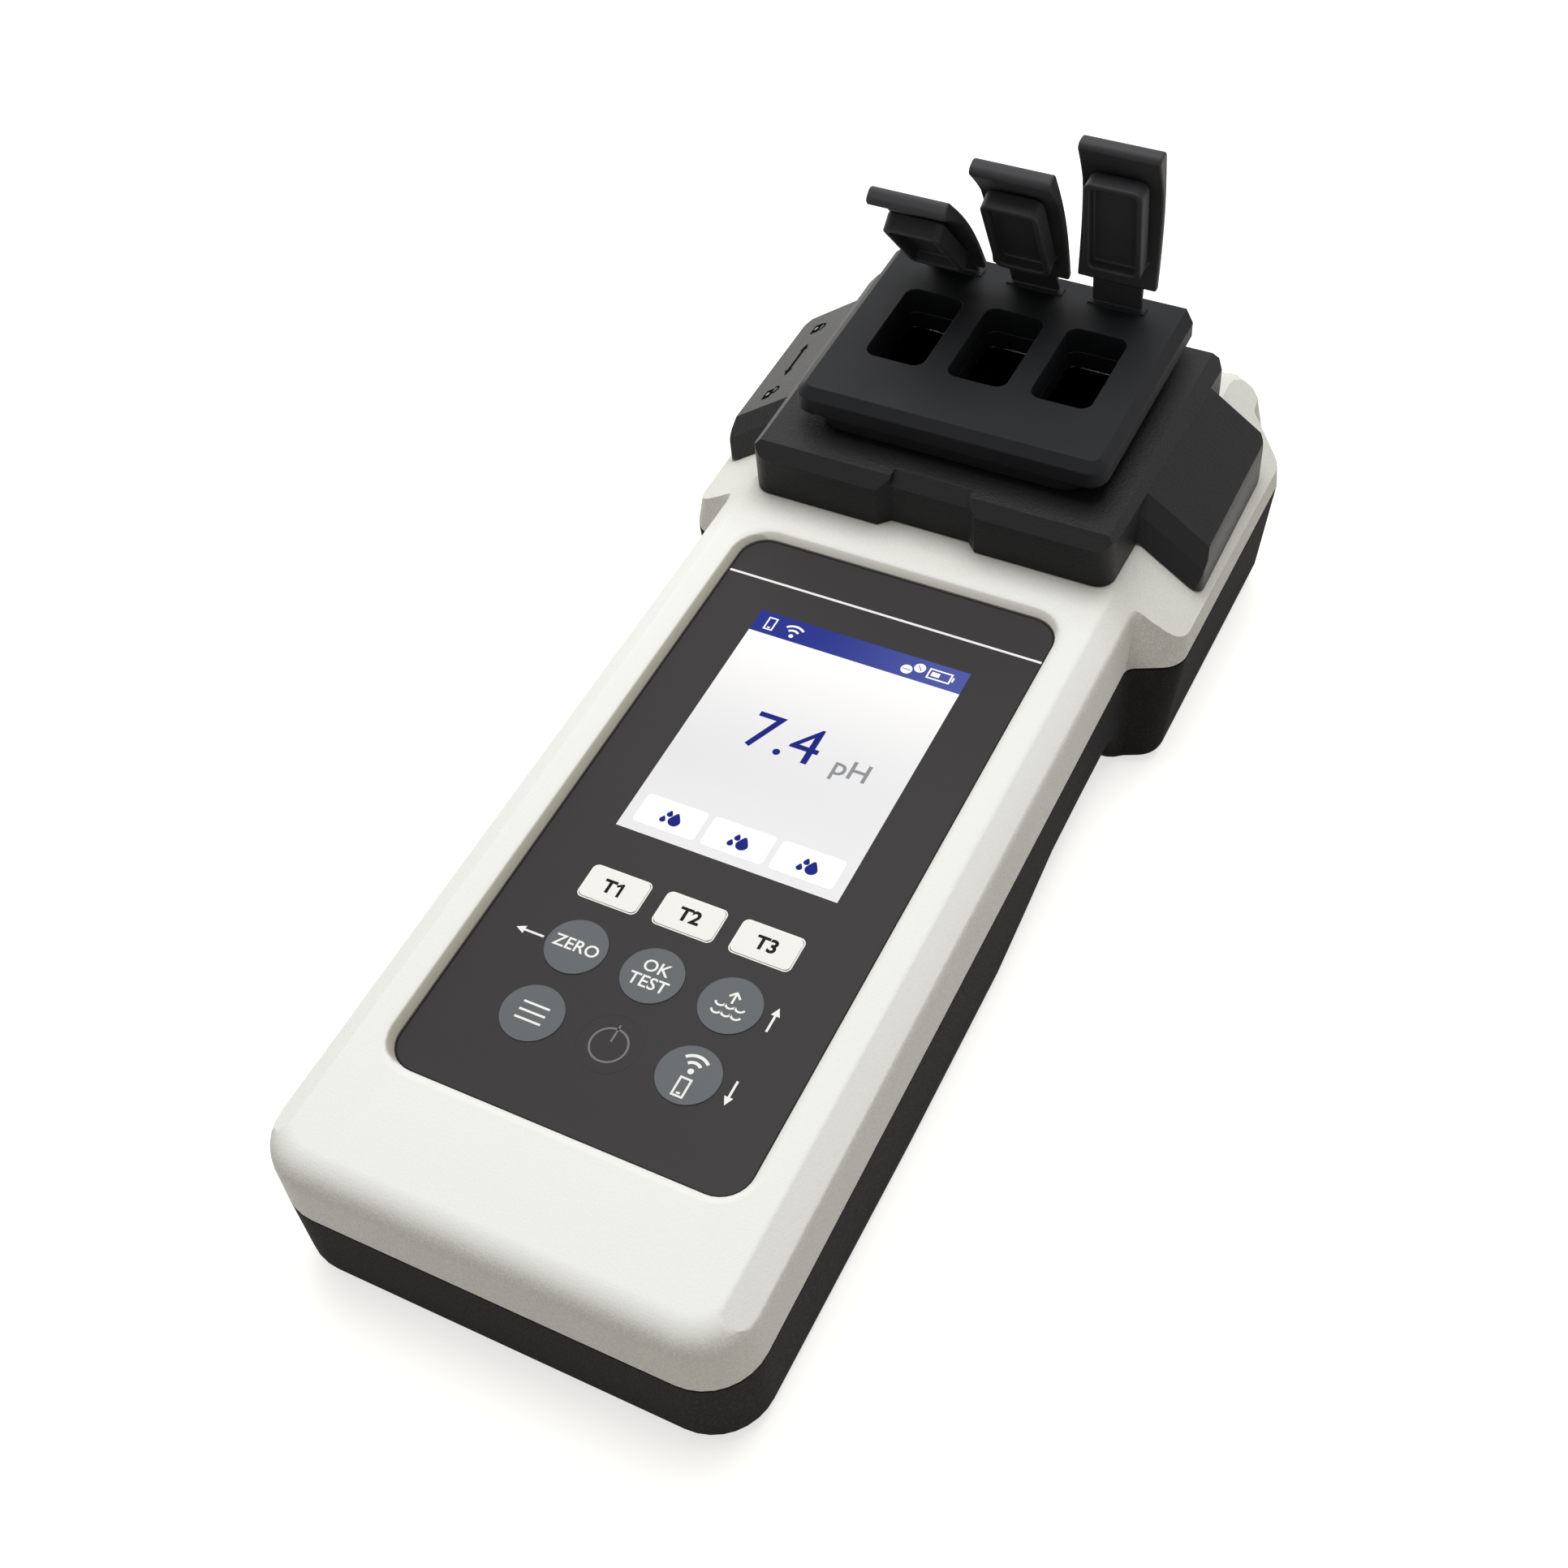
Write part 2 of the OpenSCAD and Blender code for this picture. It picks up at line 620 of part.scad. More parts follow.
// Light cover with its lock travel along Y
module along_x(w) {
    rotate([90, 0, 90]) linear_extrude(w, center = true) children();
}
module along_y(l) {
    rotate([90, 0, 0]) linear_extrude(l, center = true) children();
}
block_chamfer = 2.2;
step_w = 15.6;
step_d = 1.8;
module block_side_view(front) {
    polygon([[-front, top_h + slide_gap], [block_back, top_h + slide_gap], [block_back, block_h - 2.6],
        [block_back - 1.2, block_h], [-front + block_chamfer, block_h], [-front, block_h - block_chamfer]]);
}
module block_end_view() {
    w = block_w / 2 + block_flare;
    polygon([[-w, 0], [w, 0], [w, block_h - block_chamfer], [w - block_chamfer, block_h],
        [-w + block_chamfer, block_h], [-w, block_h - block_chamfer]]);
}
module block() {
    w = block_w / 2;
    wb = w + block_flare;
    intersection() {
        union() {
            along_x(2 * wb) block_side_view(block_front - step_d);
            intersection() {
                along_x(2 * wb) block_side_view(block_front);
                both_sides() linear_extrude(block_h + 1) polygon(concat(
                    [[step_w / 2 - 0.9, 0], [step_w / 2 - 0.9, -block_front + step_d], [step_w / 2 + 0.9, -block_front]],
                    arc([w - 3, -block_front + 3], 3, -90, 0, 6), [[wb, block_back], [0, block_back]]));
            }
        }
        along_y(200) block_end_view();
        linear_extrude(block_h + 1) polygon(mirrored(concat(arc([w - 3, -block_front + 3], 3, -90, 0, 6),
            [[wb, block_back - 2.2], [wb - 1.6, block_back]])));
    }
}
// Wing in its own slope: y along the wing, t square to the slope
module wing() {
    intersection() {
        translate([flat_w / 2, 0, top_h]) rotate([0, shoulder_slope, 0])
            translate([5, 0, 0]) along_x(26) polygon([[-wing_front, slide_gap], [wing_back, slide_gap],
                [wing_back, wing_t - 1.6], [wing_back - 1.6, wing_t], [-wing_front + 4, wing_t],
                [-wing_front + 1.4, wing_t - 2.2]]);
        along_y(200) polygon([[flat_w / 2 - 4, 0], [cover_w / 2, 0],
            [cover_w / 2, roof_z(cover_w / 2) + wing_t], [cover_w / 2 - 1.6, top_h + wing_t],
            [cover_w / 2 - 1.6, block_h - 1], [flat_w / 2 - 4, block_h - 1]]);
        linear_extrude(block_h) polygon(concat([[flat_w / 2 - 4, wing_back], [flat_w / 2 - 4, -wing_front]],
            arc([cover_w / 2 - 2, -wing_front + 2], 2, -90, 0, 4),
            arc([cover_w / 2 - 5, wing_back - 5], 5, 0, 90, 6)));
    }
}
module light_cover() {
    color([0.12, 0.12, 0.13]) difference() {
        union() {
            block();
            both_sides() wing();
        }
        // the cover rests on the roof with a running gap
        translate([0, 0, slide_gap]) roof_prism();
        // hollow of the block
        translate([0, 0, top_h - 1]) linear_extrude(block_h - cover_wall - top_h + 1)
            translate([0, (block_back - block_front + step_d) / 2])
            square([block_w - 2 * cover_wall, block_back + block_front - step_d - 2 * cover_wall], center = true);
        // opening for the cuvette carrier, longer by the lock travel
        translate([0, cover_travel / 2, top_h]) linear_extrude(block_h)
            square([carrier_w + 2 * cover_side, carrier_len + cover_travel + 2 * cover_end], center = true);
    }
}

// Cuvette unit
module window_cut(z0, z1) {
    at_cuvettes() translate([0, 0, z0]) linear_extrude(z1 - z0) rounded(window_w, window_len, 2);
}
module cuvette_plate() {
    hx = plate_w / 2;
    c = plate_chamfer;
    low = plate_h - plate_t;
    color([0.15, 0.15, 0.16]) difference() {
        union() {
            skin([for (s = [[low, 0.4], [low + 0.4, 0], [plate_h - c, 0], [plate_h, c]])
                at_z(mirrored(concat(arc([hx - 3.2, -plate_front + 3.2], 3.2 - s[1], -90, 0, 6),
                    [[hx - s[1], plate_back - 1.7], [hx - 1.7, plate_back - s[1] * 0.3]])), s[0])]);
            translate([0, (plate_back - skirt_back - plate_front + skirt_front) / 2, block_h + skirt_gap])
                linear_extrude(low - block_h)
                rounded(plate_w - 2 * skirt_side, plate_front - skirt_front + plate_back - skirt_back, skirt_r);
            // raised seats that hold the ends of the straps
            at_cuvettes() translate([-strap_w / 2 - 0.7, hinge_y - 1, plate_h - 0.2])
                cube([strap_w + 1.4, 2, 0.55]);
        }
        window_cut(low - 1, plate_h + 1);
        linear_extrude(low) square([carrier_w + 0.2, carrier_len + 0.2], center = true);
    }
}
module cuvette_carrier() {
    color([0.11, 0.11, 0.12]) difference() {
        translate([0, 0, top_h]) linear_extrude(plate_h - plate_t - top_h)
            square([carrier_w, carrier_len], center = true);
        window_cut(cuvette_rim - eps, plate_h);
        at_cuvettes() translate([0, 0, top_h - 1]) linear_extrude(cuvette_rim - top_h + 1)
            square([cuvette_w, cuvette_len], center = true);
    }
}
module cuvette(i) {
    color([0.8, 0.9, 0.95, 0.35]) translate([i * cuvette_pitch, 0, 0]) difference() {
        translate([0, 0, cuvette_floor]) linear_extrude(cuvette_rim - cuvette_floor)
            square([cuvette_w, cuvette_len], center = true);
        translate([0, 0, cuvette_floor + cuvette_wall]) linear_extrude(cuvette_rim)
            rounded(cuvette_w - 2 * cuvette_wall, cuvette_len - 2 * cuvette_wall, 1);
    }
}

// Caps, drawn closed with the hinge line at the origin, then swung open
hinge_rise = 1;
hinge_z = plate_h + hinge_rise;
plug_w = window_w - 0.5;
plug_near = hinge_y - window_len / 2 + 0.3;
plug_far = hinge_y + window_len / 2 - 0.65;
plug_low = -plug_depth;
cap_near = 4.6;
cap_foot = 0.45;
cap_rise = lip_t + 0.15 - hinge_rise - cap_foot;
cap_bulge = 1.2;
function crown(s) = let (t = (s - cap_near) / (cap_len - cap_near))
    cap_foot + cap_rise * t + cap_bulge * sin(180 * t);
module cap_side_view() {
    lip_r = lip_t * 0.36;
    lip = cap_len - lip_r;
    run = lip - cap_near;
    polygon(concat([for (i = [0:14]) let (q = cap_near + run * i / 14) [-q, crown(q)]],
        arc([-lip, crown(lip) - lip_r], lip_r, 100, 180, 4), arc([-lip, crown(lip) - lip_t + lip_r], lip_r, 180, 262, 4),
        [for (i = [14:-1:0]) let (q = cap_near + run * i / 14, t = max(0, (q - lip + lip_run) / lip_run))
            [-q, crown(q) - cap_t - (lip_t - cap_t) * pow(t, 1.2)]]));
}
module strap_side_view() {
    circle(r = strap_t / 2, $fn = 24);
    polygon([[0, -strap_t / 2], [0.2, strap_t / 2 - 0.05], [-6, crown(6) - 0.05], [-6, crown(6) - 0.05 - strap_t]]);
}
module cap(i, open) {
    color([0.13, 0.13, 0.14]) translate([i * cuvette_pitch, hinge_y, hinge_z]) rotate([-open, 0, 0]) {
        along_x(cap_w) cap_side_view();
        along_x(strap_w) strap_side_view();
        difference() {
            translate([0, -(plug_near + plug_far) / 2, plug_low]) linear_extrude(crown(plug_near) - cap_t - plug_low + 0.3)
                rounded(plug_w, plug_far - plug_near, 1.6);
            translate([0, -(plug_near + plug_far) / 2, plug_low - 1]) linear_extrude(crown(plug_near) - cap_t - plug_low)
                rounded(plug_w - 2.2, plug_far - plug_near - 2.2, 0.8);
        }
    }
}

// Battery bay
module battery_tray() {
    w = bay_w + 2 * tray_wall;
    l = bay_len + 2 * tray_wall;
    color([0.2, 0.2, 0.2]) translate([0, -bay_y, 0]) difference() {
        union() {
            translate([0, 0, ledge_z + 1]) linear_extrude(tray_top - ledge_z - 1) square([w, l], center = true);
            translate([0, 0, flange_z]) linear_extrude(1.2) square([w + 3, l + 3], center = true);
        }
        translate([0, 0, ledge_z]) linear_extrude(tray_top - 1.2 - ledge_z) square([bay_w, bay_len], center = true);
    }
}
module battery_cells() {
    color([0.5, 0.5, 0.52]) translate([0, -bay_y, cell_z]) for (i = [-1:1])
        translate([i * cell_pitch, 0, 0]) rotate([0, 0, i == 0 ? 180 : 0]) translate([0, 1.1, 0]) rotate([90, 0, 0]) {
            cylinder(d = cell_d, h = cell_len, center = true);
            translate([0, 0, -cell_len / 2 - 1.2]) cylinder(r = 2.7, h = 1.3);
        }
}
module battery_contacts() {
    // a plate behind each cell end, and a coil spring's cone at the flat end
    color([0.75, 0.75, 0.72]) translate([0, -bay_y, cell_z]) for (i = [-1:1])
        translate([i * cell_pitch, 0, 0]) rotate([0, 0, i == 0 ? 180 : 0]) {
            translate([-4.5, bay_len / 2 - 0.4, -4.5]) cube([9, 0.4, 9]);
            translate([-4.5, -bay_len / 2, -4.5]) cube([9, 0.4, 9]);
            translate([0, -bay_len / 2 + 0.4, 0]) rotate([-90, 0, 0])
                cylinder(r1 = 4, r2 = 2.5, h = bay_len / 2 - cell_len / 2 + 1.1 - 0.5);
        }
}
module battery_door() {
    color([0.14, 0.14, 0.14]) difference() {
        intersection() {
            lower_skin();
            door_plate(0.25);
        }
        translate([0, -bay_y, 0]) both_sides() for (y = [-1, 1]) translate([door_screw_x, y * door_screw_y, 0]) {
            cylinder(r = 1.35, h = 20);
            translate([0, 0, -1]) cylinder(r = 2.3, h = door_top - 0.3);
        }
    }
}
module door_seal() {
    color([0.5, 0.1, 0.1]) translate([0, -bay_y, door_top]) linear_extrude(ledge_z - door_top) difference() {
        rounded(bay_w + 3, bay_len + 3, 3);
        rounded(bay_w + 0.8, bay_len + 0.8, 2);
    }
}
module door_screws() {
    color([0.6, 0.6, 0.62]) translate([0, -bay_y, 0]) both_sides() for (y = [-1, 1])
        translate([door_screw_x, y * door_screw_y, door_top - 1.3]) {
            difference() {
                translate([0, 0, -1.2]) cylinder(r = 2.1, h = 1.2);
                translate([0, 0, -1.5]) cylinder(r = 0.8, h = 1, $fn = 6);
            }
            translate([0, 0, -eps]) cylinder(r = 1, h = 5);
        }
}

top_housing();
bottom_housing();
housing_seal();
housing_screws();
front_foil();
display_window();
display_module();
keypad_spacer();
switch_sheet();
key(0);  // key_t1
key(1);  // key_t2
key(2);  // key_t3
key(3);  // key_zero
key(4);  // key_test
key(5);  // key_sample
key(6);  // key_menu
key(7);  // key_power
key(8);  // key_link
main_board();
board_screws();
controller_chips();
light_cover();
cuvette_plate();
cuvette_carrier();
cuvette(-1);  // cuvette_1
cuvette(0);  // cuvette_2
cuvette(1);  // cuvette_3
cap(-1, open_1);  // cap_1
cap(0, open_2);  // cap_2
cap(1, open_3);  // cap_3
optical_block();
led_board();
led_emitters();
sensor_board();
photodiodes();
battery_tray();
battery_cells();
battery_contacts();
battery_door();
door_seal();
door_screws();
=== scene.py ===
import bmesh
import bpy
import math
from mathutils import Matrix, Quaternion, Vector


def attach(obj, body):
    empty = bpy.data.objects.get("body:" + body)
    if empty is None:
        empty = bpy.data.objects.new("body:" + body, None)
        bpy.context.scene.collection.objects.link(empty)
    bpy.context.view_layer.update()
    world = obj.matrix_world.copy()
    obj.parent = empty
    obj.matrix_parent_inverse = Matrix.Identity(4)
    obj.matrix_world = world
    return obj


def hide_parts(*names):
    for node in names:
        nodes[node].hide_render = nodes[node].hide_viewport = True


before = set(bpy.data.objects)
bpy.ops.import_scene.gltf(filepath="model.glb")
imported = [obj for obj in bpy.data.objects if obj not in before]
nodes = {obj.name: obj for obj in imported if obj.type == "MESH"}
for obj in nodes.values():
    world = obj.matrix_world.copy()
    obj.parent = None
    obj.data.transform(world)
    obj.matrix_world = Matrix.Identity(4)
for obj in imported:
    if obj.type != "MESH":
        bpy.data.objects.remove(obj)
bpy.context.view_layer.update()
scene = bpy.context.scene

# Camera.
# It stands to the right of the handle's end and above it, and leans a little, as the
# photographer held it. Its lens is a short portrait lens.
mm = 0.001
stand = Vector((107.87, -258.13, 276.04)) * mm
turn_axis = Vector((2.4068, 0.5352, -0.2924)).normalized()
turn = 2.482866
look = Quaternion(turn_axis, turn).to_matrix()
camera = bpy.data.objects.new("camera", bpy.data.cameras.new("camera"))
camera.data.sensor_width = 36
camera.data.lens = 48.31
camera.data.clip_start = 0.01
camera.matrix_world = (Matrix.Translation(stand)
                       @ (look.transposed() @ Matrix.Diagonal((1, -1, -1))).to_4x4())
scene.collection.objects.link(camera)
scene.camera = camera
scene.view_settings.view_transform = "Standard"

# Upper shell.
# Injection moulded in ivory ABS with a fine spark texture that glitters a little in
# the light. The foil lies in its sunk face.
class Value:
    """A number on its way through the shader, so that shader maths reads as sums."""
    def __init__(self, finish, socket):
        self.finish = finish
        self.socket = socket

    def math(self, operation, first, second):
        return self.finish.node("ShaderNodeMath", {"operation": operation}, {0: first, 1: second})

    def __add__(self, other):
        return self.math("ADD", self, other)

    def __radd__(self, other):
        return self.math("ADD", other, self)

    def __sub__(self, other):
        return self.math("SUBTRACT", self, other)

    def __rsub__(self, other):
        return self.math("SUBTRACT", other, self)

    def __mul__(self, other):
        return self.math("MULTIPLY", self, other)

    def __rmul__(self, other):
        return self.math("MULTIPLY", other, self)

    def larger(self, other):
        return self.math("MAXIMUM", self, other)

    def over(self, edge, width):
        """A mask that rises from 0 to 1 over a width around an edge."""
        return self.finish.node("ShaderNodeMapRange", {"interpolation_type": "SMOOTHSTEP"},
                                {0: self, 1: edge - width / 2, 2: edge + width / 2, 3: 0.0, 4: 1.0})


class Finish:
    """One material with its nodes."""
    def __init__(self, name, owner=None):
        self.material = owner or bpy.data.materials.new(name)
        self.material.use_nodes = True
        self.tree = self.material.node_tree
        self.tree.nodes.clear()
        self.place = self.node("ShaderNodeTexCoord", {}, {}, "Generated" if owner else "Object")

    def node(self, kind, settings, inputs, output=0):
        made = self.tree.nodes.new(kind)
        for key, value in settings.items():
            setattr(made, key, value)
        for key, value in inputs.items():
            if isinstance(value, Value):
                self.tree.links.new(value.socket, made.inputs[key])
            else:
                made.inputs[key].default_value = value
        return Value(self, made.outputs[output]) if made.outputs else None

    def noise(self, size, detail=2.0, roughness=0.5):
        return self.node("ShaderNodeTexNoise", {}, {"Vector": self.place, "Scale": 1 / size,
                                                    "Detail": detail, "Roughness": roughness})

    def split(self, vector, axis):
        return self.node("ShaderNodeSeparateXYZ", {}, {0: vector}, axis)

    def mix(self, factor, first, second):
        made = self.tree.nodes.new("ShaderNodeMix")
        made.data_type = "RGBA"
        pairs = ((made.inputs[0], factor), (made.inputs[6], first), (made.inputs[7], second))
        for socket, value in pairs:
            if isinstance(value, Value):
                self.tree.links.new(value.socket, socket)
            else:
                socket.default_value = value if isinstance(value, float) else linear(value)
        return Value(self, made.outputs[2])

    def bump(self, height, depth, strength=1.0):
        return self.node("ShaderNodeBump", {},
                         {"Height": height, "Distance": depth, "Strength": strength})

    def surface(self, colour, roughness, **more):
        base = colour if isinstance(colour, Value) else linear(colour)
        inputs = {"Base Color": base, "Roughness": roughness}
        inputs.update({key.replace("_", " "): value for key, value in more.items()})
        self.finished("ShaderNodeOutputMaterial", self.node("ShaderNodeBsdfPrincipled", {}, inputs))
        return self.material

    def finished(self, kind, shader):
        self.node(kind, {"name": "out"}, {})
        self.tree.links.new(shader.socket, self.tree.nodes["out"].inputs["Surface"])


def linear(colour):
    """Screen values from 0 to 255 as the shader's own numbers."""
    out = []
    for part in colour[:3]:
        part = part / 255
        out.append(part / 12.92 if part <= 0.04045 else ((part + 0.055) / 1.055) ** 2.4)
    return (*out, 1.0)


def part_from(node_name, piece_name, body, material, rounding=0.0, sharp=32, segments=2,
              spread=1.0, top=1000.0, clamp=True):
    """A merged copy of a moulded solid with broken edges and smooth curves. Spread widens it
    and top cuts its height, which a printed key needs to lie in its film."""
    made = nodes[node_name].data.copy()
    shape = bmesh.new()
    shape.from_mesh(made)
    middle = sum((vert.co for vert in shape.verts), Vector()) / len(shape.verts)
    bmesh.ops.scale(shape, vec=(spread, spread, 1), space=Matrix.Translation(-middle),
                    verts=shape.verts)
    for vert in shape.verts:
        vert.co.z = min(vert.co.z, top * mm)
    bmesh.ops.remove_doubles(shape, verts=shape.verts, dist=2e-6)
    bmesh.ops.dissolve_limit(shape, angle_limit=math.radians(0.6), verts=shape.verts, edges=shape.edges)
    for face in shape.faces:
        face.smooth = True
        face.material_index = 0
    crease = math.radians(sharp)
    for edge in shape.edges:
        edge.smooth = len(edge.link_faces) == 2 and edge.calc_face_angle(0) < crease
    shape.to_mesh(made)
    shape.free()
    made.materials.clear()
    made.materials.append(material)
    piece = bpy.data.objects.new(piece_name, made)
    scene.collection.objects.link(piece)
    if rounding:
        bevel = piece.modifiers.new("rounding", "BEVEL")
        bevel.width = rounding * mm
        bevel.segments = segments
        bevel.limit_method = "ANGLE"
        bevel.angle_limit = crease
        bevel.harden_normals = False
        bevel.use_clamp_overlap = clamp
    weighted = piece.modifiers.new("even shading", "WEIGHTED_NORMAL")
    weighted.keep_sharp = True
    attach(piece, body)
    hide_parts(node_name)


shell_fade = 4 * mm
recess_left = 22 * mm
recess_top = 44 * mm
head_front = 32 * mm
head_start = 36 * mm
ivory = Finish("ivory_abs")
grain = ivory.noise(0.32 * mm, 1.5)
cloud = ivory.noise(22 * mm, 2.0)
across = ivory.split(ivory.place, "X")
along = ivory.split(ivory.place, "Y")
facing = ivory.node("ShaderNodeNewGeometry", {}, {}, "Normal")
# Painted shade: the left and upper walls of the sunk face are darker than the rest of the shell.
recess_side_shade = ivory.split(facing, "X").over(0.3, 0.2) * (0.0 - across).over(recess_left, shell_fade)
recess_end_shade = ((0.0 - ivory.split(facing, "Y")).over(0.3, 0.2) * along.over(-recess_top, shell_fade)
            * (0.0 - along).over(head_front, shell_fade))
steep_face_shade = 1.0 - ivory.split(facing, "Z").over(0.74, 0.34)
# Painted shade: the shell is darker towards the head.
head = along.over(-head_start, 3 * shell_fade)
shade = ivory.mix(grain.over(0.4, 0.2), (237, 238, 234), (241, 242, 240))
shade = ivory.mix(cloud * 0.3, shade, (237, 238, 234))
shade = ivory.mix(recess_side_shade + recess_end_shade * 0.6, shade, (166, 163, 152))
shade = ivory.mix(head * 0.26, shade, (180, 177, 165))
# The spark grain is real everywhere; its stronger dark specks on steep faces and towards the head are
# painted shade.
sparks_and_shade = grain.over(0.47, 0.14) * (steep_face_shade * 0.16 + head * 0.06 + 0.03)
shade = ivory.mix(sparks_and_shade, shade, (150, 147, 136))
ivory_abs = ivory.surface(shade, 0.56 + grain * 0.14, Specular_IOR_Level=0.2,
                          Normal=ivory.bump(grain, 0.06 * mm, 0.7))
part_from("top_housing", "upper_shell", "instrument", ivory_abs, 0.7, 30, 4)

# Lower shell and battery door.
# The same texture in anthracite ABS. The door is cut from the same form and held by
# four small screws.
dark = Finish("anthracite_abs")
grain = dark.noise(0.45 * mm, 1.5)
speck = dark.noise(0.3 * mm, 0.0)
shade = dark.mix(speck.over(0.6, 0.2), (58, 57, 59), (70, 69, 71))
# Painted shade: the lower shell is darker towards the head.
shade_towards_head = dark.split(dark.place, "Y").over(-50 * mm, 40 * mm)
shade = dark.mix(shade_towards_head * 0.5, shade, (24, 24, 25))
anthracite = dark.surface(shade, 0.68 + grain * 0.2, Specular_IOR_Level=0.02,
                          Normal=dark.bump(grain + speck * 0.5, 0.06 * mm, 0.7))
part_from("bottom_housing", "lower_shell", "instrument", anthracite, 0.35, 24)
part_from("battery_door", "battery_hatch", "instrument", anthracite, 0.25, 24)

# Light cover and carrier.
# Black ABS, slid over the shoulders of the head. It is smoother than the shells and
# picks up soft highlights along its edges. The carrier under the rubber plate is moulded
# in the same plastic.
cover = Finish("black_abs")
grain = cover.noise(0.45 * mm, 2.0)
worn = cover.noise(7 * mm, 3.0)
shade = cover.mix(worn * 0.5, (30, 30, 32), (36, 35, 37))
cover_black = cover.surface(shade, 0.36 + grain * 0.12 + worn * 0.06, Specular_IOR_Level=0.16,
                            Normal=cover.bump(grain, 0.1 * mm, 0.8))
part_from("light_cover", "sliding_cover", "light_cover", cover_black, 1.2, 28, 4)
part_from("cuvette_carrier", "well_carrier", "cuvette_unit", cover_black, 0.15, 30)

# Rubber plate and caps.
# Moulded EPDM rubber, matt with a soft sheen. The caps are moulded with their plugs
# and hinge on a thin strap.
def rubber(name, deep, pale, gloss):
    made = Finish(name)
    grain = made.noise(0.22 * mm, 2.0)
    dust = made.noise(1.1 * mm, 4.0, 0.62)
    haze = made.noise(9 * mm, 2.0)
    shade = made.mix(haze * 0.6, deep, pale)
    shade = made.mix(dust.over(0.74, 0.08) * 0.2, shade, (80, 79, 77))
    return made.surface(shade, 0.52 + haze * 0.14, Specular_IOR_Level=gloss,
                        Normal=made.bump(grain, 0.02 * mm, 0.6))


# Plate and caps are one rubber, given a darker copy for the plate's lit top and a lighter one for the
# caps' shaded faces: painted light and shade.
plate_rubber = rubber("plate_rubber", (18, 19, 22), (24, 25, 28), 0.18)
cap_rubber = rubber("cap_rubber", (43, 43, 46), (50, 50, 53), 0.3)
part_from("cuvette_plate", "rubber_plate", "cuvette_unit", plate_rubber, 0.5, 28, 3)
for cap in ("cap_1", "cap_2", "cap_3"):
    part_from(cap, "rubber_" + cap, cap, cap_rubber, 0.33, 32, 3, clamp=False)

# Cuvettes.
# Injection moulded clear acrylic, polished. They stand in the carrier and show as pale
# rims inside the windows.
acrylic = Finish("clear_acrylic")
clear_acrylic = acrylic.surface((232, 240, 242), 0.03, Transmission_Weight=1.0, IOR=1.49)
for cuvette in ("cuvette_1", "cuvette_2", "cuvette_3"):
    part_from(cuvette, "clear_" + cuvette, "cuvette_unit", clear_acrylic, 0.35)

# Foil.
# A printed polyester film with the dark ground printed on its back, so its face is
# smooth and satin.
film = Finish("printed_film")
sheen = film.noise(14 * mm, 2.0)
fine = film.noise(0.25 * mm, 1.0)
ground = film.mix(sheen * 0.5, (48, 46, 47), (52, 50, 51))
printed_film = film.surface(ground, 0.42 + fine * 0.08, Specular_IOR_Level=0.12,
                            Normal=film.bump(fine, 0.004 * mm, 0.5))
part_from("front_foil", "printed_foil", "instrument", printed_film)

# Keys.
# Embossed and printed in the same film: white for the three tests, slate grey for the
# rest. The power key lies level with the film and has the ground's own colour.
def key_film(name, colour, deeper):
    made = Finish(name)
    fine = made.noise(0.25 * mm, 1.0)
    sheen = made.noise(6 * mm, 2.0)
    return made.surface(made.mix(sheen * 0.5, colour, deeper), 0.42 + fine * 0.08,
                        Specular_IOR_Level=0.15, Normal=made.bump(fine, 0.004 * mm, 0.5))


key_spread = 1.012
level_with_film = 33.502
white_key = key_film("white_print", (241, 240, 237), (236, 235, 232))
slate_key = key_film("slate_print", (96, 101, 104), (92, 96, 99))
for key in ("key_t1", "key_t2", "key_t3"):
    part_from(key, "film_" + key, key, white_key, 0.05, 40, spread=key_spread)
for key in ("key_zero", "key_test", "key_sample", "key_menu", "key_link"):
    part_from(key, "film_" + key, key, slate_key, 0.05, 40, spread=key_spread)
part_from("key_power", "film_key_power", "key_power", printed_film,
          spread=key_spread, top=level_with_film)

# Display.
# The pane carries the lit picture: a white page that turns grey towards the soft keys,
# under a glossy front.
pane = Finish("lit_page")
upwards = pane.split(pane.place, "Y").over(-68 * mm, 40 * mm)
page = pane.mix(upwards, (215, 215, 218), (249, 249, 250))
lit_page = pane.surface(page, 0.16, Specular_IOR_Level=0.3, Emission_Color=page,
                        Emission_Strength=0.09)
part_from("display_window", "display_pane", "instrument", lit_page)

# Printing on the foil and the keys.
# Each mark is a layer of ink 0.02 mm thick, drawn with bars, rings, discs and drops in
# millimetres from the middle of the foil's upper edge, or from the middle of its key.
ink_height = 0.02


def span(node_name, axis):
    """The two ends of a node along an axis."""
    places = [vert.co[axis] for vert in nodes[node_name].data.vertices]
    return min(places), max(places)


def top_middle(node_name):
    middle = [sum(span(node_name, axis)) / 2 for axis in (0, 1)]
    return Vector((*middle, span(node_name, 2)[1]))


foil_top = Vector((0, span("front_foil", 1)[1], span("front_foil", 2)[1]))


def from_foil(place):
    """A place in millimetres from the middle of the foil's upper edge."""
    return (place.x - foil_top.x) / mm, (place.y - foil_top.y) / mm


def ink(name, colour, glow=0.0, gloss=0.2):
    made = Finish(name)
    fine = made.noise(0.3 * mm, 1.0)
    shade = made.mix(fine * 0.3, colour, tuple(part * 0.97 for part in colour))
    more = {"Emission_Color": linear(colour), "Emission_Strength": glow} if glow else {}
    return made.surface(shade, 0.4, Specular_IOR_Level=gloss, **more)


def bar(shape, x0, y0, x1, y1, width, share=1.0):
    """A straight stroke between two points. Where strokes cross, one is a little thinner."""
    along = Vector((x1 - x0, y1 - y0))
    place = (Matrix.Translation(((x0 + x1) / 2, (y0 + y1) / 2, ink_height * share / 2))
             @ Matrix.Rotation(math.atan2(along.y, along.x), 4, "Z")
             @ Matrix.Diagonal((along.length, width, ink_height * share, 1)))
    bmesh.ops.create_cube(shape, size=1, matrix=place)


